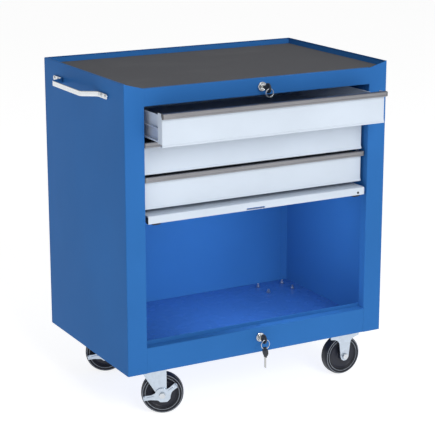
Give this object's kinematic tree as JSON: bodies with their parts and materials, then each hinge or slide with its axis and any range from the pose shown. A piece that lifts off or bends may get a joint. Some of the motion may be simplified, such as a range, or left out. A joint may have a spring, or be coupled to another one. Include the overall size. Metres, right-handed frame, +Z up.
{
  "type": "rolling tool chest",
  "caption": "Wheeled sheet-metal tool chest: sliding drawers under a matted top, an open compartment with a retracting door, a side handle and braked swivel casters.",
  "frame": {"origin": "on the floor, in the middle of the chest's overall box with the top drawer partly open", "axes": "+Z up, -Y towards the front where the drawers open, +X to the right seen from the front"},
  "size_m": [0.717, 0.515, 0.781],
  "materials": {
    "body_paint": "gloss blue powder coat",
    "drawer_paint": "satin pale grey powder coat",
    "mat_rubber": "ribbed matt grey rubber",
    "zinc_steel": "bright zinc plate",
    "chrome": "bright chrome plate",
    "grip_metal": "brushed dull grey",
    "caster_steel": "bright zinc plate",
    "wheel_rubber": "matt black",
    "black_plastic": "moulded matt",
    "black_rubber": "matt"
  },
  "bodies": {
    "cabinet": {"left_side_panel": "body_paint", "right_side_panel": "body_paint", "back_panel": "body_paint", "top_tray": "body_paint", "top_mat": "mat_rubber", "floor_pan": "body_paint", "top_rail": "body_paint", "bottom_rail": "body_paint", "left_inner_plate": "body_paint", "right_inner_plate": "body_paint", "cabinet_runners": "zinc_steel", "side_handle": "chrome", "handle_screws": "zinc_steel", "drawer_lock_barrel": "chrome", "door_lock_barrel": "chrome", "front_left_caster_plate": "zinc_steel", "rear_left_caster_plate": "zinc_steel", "front_right_caster_fork": "caster_steel", "rear_right_caster_fork": "caster_steel", "fixed_caster_axles": "zinc_steel", "caster_bolts": "zinc_steel"},
    "top_drawer": {"top_drawer_front": "drawer_paint", "top_drawer_tray": "drawer_paint", "top_drawer_grip": "grip_metal", "top_drawer_runners": "zinc_steel"},
    "top_drawer_cages": {"top_drawer_ball_cages": "zinc_steel"},
    "middle_drawer": {"middle_drawer_front": "drawer_paint", "middle_drawer_tray": "drawer_paint", "middle_drawer_grip": "grip_metal", "middle_drawer_runners": "zinc_steel"},
    "middle_drawer_cages": {"middle_drawer_ball_cages": "zinc_steel"},
    "bottom_drawer": {"bottom_drawer_front": "drawer_paint", "bottom_drawer_tray": "drawer_paint", "bottom_drawer_grip": "grip_metal", "bottom_drawer_runners": "zinc_steel"},
    "bottom_drawer_cages": {"bottom_drawer_ball_cages": "zinc_steel"},
    "door_carriage": {"door_sliders": "black_plastic"},
    "door": {"door_panel": "drawer_paint", "door_pivot_studs": "zinc_steel", "door_bumpers": "black_rubber"},
    "drawer_lock_bar": {"drawer_lock_bar": "zinc_steel"},
    "drawer_lock": {"drawer_lock_plug": "chrome", "drawer_lock_cam": "zinc_steel", "drawer_lock_key": "black_plastic"},
    "drawer_key_ring": {"drawer_key_ring": "zinc_steel"},
    "door_lock": {"door_lock_plug": "chrome", "door_lock_cam": "zinc_steel", "door_lock_key": "black_plastic"},
    "door_key_ring": {"door_key_ring": "zinc_steel"},
    "door_spare_key": {"door_spare_key": "black_plastic"},
    "front_left_caster": {"front_left_caster_fork": "caster_steel", "front_left_caster_axle": "zinc_steel"},
    "front_left_wheel": {"front_left_wheel": "wheel_rubber"},
    "front_left_brake": {"front_left_brake_lever": "caster_steel"},
    "rear_left_caster": {"rear_left_caster_fork": "caster_steel", "rear_left_caster_axle": "zinc_steel"},
    "rear_left_wheel": {"rear_left_wheel": "wheel_rubber"},
    "rear_left_brake": {"rear_left_brake_lever": "caster_steel"},
    "front_right_wheel": {"front_right_wheel": "wheel_rubber"},
    "rear_right_wheel": {"rear_right_wheel": "wheel_rubber"}
  },
  "joints": [
    {"name": "top_drawer_slide", "type": "slide", "parent": "cabinet", "child": "top_drawer", "axis": [0, -1, 0], "range_m": [-0.089, 0.171]},
    {"name": "top_drawer_cage_slide", "type": "slide", "parent": "cabinet", "child": "top_drawer_cages", "axis": [0, -1, 0], "range_m": [-0.0445, 0.0855]},
    {"name": "middle_drawer_slide", "type": "slide", "parent": "cabinet", "child": "middle_drawer", "axis": [0, -1, 0], "range_m": [0, 0.26]},
    {"name": "middle_drawer_cage_slide", "type": "slide", "parent": "cabinet", "child": "middle_drawer_cages", "axis": [0, -1, 0], "range_m": [0, 0.13]},
    {"name": "bottom_drawer_slide", "type": "slide", "parent": "cabinet", "child": "bottom_drawer", "axis": [0, -1, 0], "range_m": [0, 0.26]},
    {"name": "bottom_drawer_cage_slide", "type": "slide", "parent": "cabinet", "child": "bottom_drawer_cages", "axis": [0, -1, 0], "range_m": [0, 0.13]},
    {"name": "door_slide", "type": "slide", "parent": "cabinet", "child": "door_carriage", "axis": [0, -1, 0], "range_m": [0, 0.281]},
    {"name": "door_hinge", "type": "hinge", "parent": "door_carriage", "child": "door", "pos_m": [0.0185, 0.1145, 0.474], "axis": [1, 0, 0], "range_deg": [0, 90]},
    {"name": "drawer_lock_bar_slide", "type": "slide", "parent": "cabinet", "child": "drawer_lock_bar", "axis": [0, 0, -1], "range_m": [0, 0.01272]},
    {"name": "drawer_lock_turn", "type": "hinge", "parent": "cabinet", "child": "drawer_lock", "pos_m": [0.0185, -0.1775, 0.749], "axis": [0, -1, 0], "range_deg": [0, 90]},
    {"name": "drawer_key_ring_swing", "type": "hinge", "parent": "drawer_lock", "child": "drawer_key_ring", "pos_m": [0.0185, -0.2132, 0.749], "axis": [1, 0, 0], "range_deg": [-40, 10]},
    {"name": "door_lock_turn", "type": "hinge", "parent": "cabinet", "child": "door_lock", "pos_m": [0.0185, -0.1775, 0.158], "axis": [0, 1, 0], "range_deg": [0, 90]},
    {"name": "door_key_ring_swing", "type": "hinge", "parent": "door_lock", "child": "door_key_ring", "pos_m": [0.0185, -0.2042, 0.158], "axis": [1, 0, 0], "range_deg": [-40, 10]},
    {"name": "door_spare_key_swing", "type": "hinge", "parent": "door_key_ring", "child": "door_spare_key", "pos_m": [0.0185, -0.2042, 0.136], "axis": [1, 0, 0], "range_deg": [-40, 10]},
    {"name": "front_left_caster_swivel", "type": "hinge", "parent": "cabinet", "child": "front_left_caster", "pos_m": [-0.2415, -0.1155, 0.12], "axis": [0, 0, 1], "continuous": true},
    {"name": "front_left_wheel_spin", "type": "hinge", "parent": "front_left_caster", "child": "front_left_wheel", "pos_m": [-0.21299, -0.13003, 0.049], "axis": [0.454, 0.891, 0], "continuous": true},
    {"name": "front_left_brake_press", "type": "hinge", "parent": "front_left_caster", "child": "front_left_brake", "pos_m": [-0.21299, -0.13003, 0.049], "axis": [0.454, 0.891, 0], "range_deg": [0, 25]},
    {"name": "rear_left_caster_swivel", "type": "hinge", "parent": "cabinet", "child": "rear_left_caster", "pos_m": [-0.2415, 0.1955, 0.12], "axis": [0, 0, 1], "continuous": true},
    {"name": "rear_left_wheel_spin", "type": "hinge", "parent": "rear_left_caster", "child": "rear_left_wheel", "pos_m": [-0.2125, 0.18198, 0.049], "axis": [0.4226, 0.9063, 0], "continuous": true},
    {"name": "rear_left_brake_press", "type": "hinge", "parent": "rear_left_caster", "child": "rear_left_brake", "pos_m": [-0.2125, 0.18198, 0.049], "axis": [0.4226, 0.9063, 0], "range_deg": [0, 25]},
    {"name": "front_right_wheel_spin", "type": "hinge", "parent": "cabinet", "child": "front_right_wheel", "pos_m": [0.2865, -0.1155, 0.049], "axis": [0, 1, 0], "continuous": true},
    {"name": "rear_right_wheel_spin", "type": "hinge", "parent": "cabinet", "child": "rear_right_wheel", "pos_m": [0.2865, 0.1955, 0.049], "axis": [0, 1, 0], "continuous": true}
  ],
  "couplings": [
    {"joint": "top_drawer_cage_slide", "follows": "top_drawer_slide", "ratio": 0.5},
    {"joint": "middle_drawer_cage_slide", "follows": "middle_drawer_slide", "ratio": 0.5},
    {"joint": "bottom_drawer_cage_slide", "follows": "bottom_drawer_slide", "ratio": 0.5},
    {"joint": "drawer_lock_turn", "follows": "drawer_lock_bar_slide", "rad_per_m": 123.4}
  ]
}
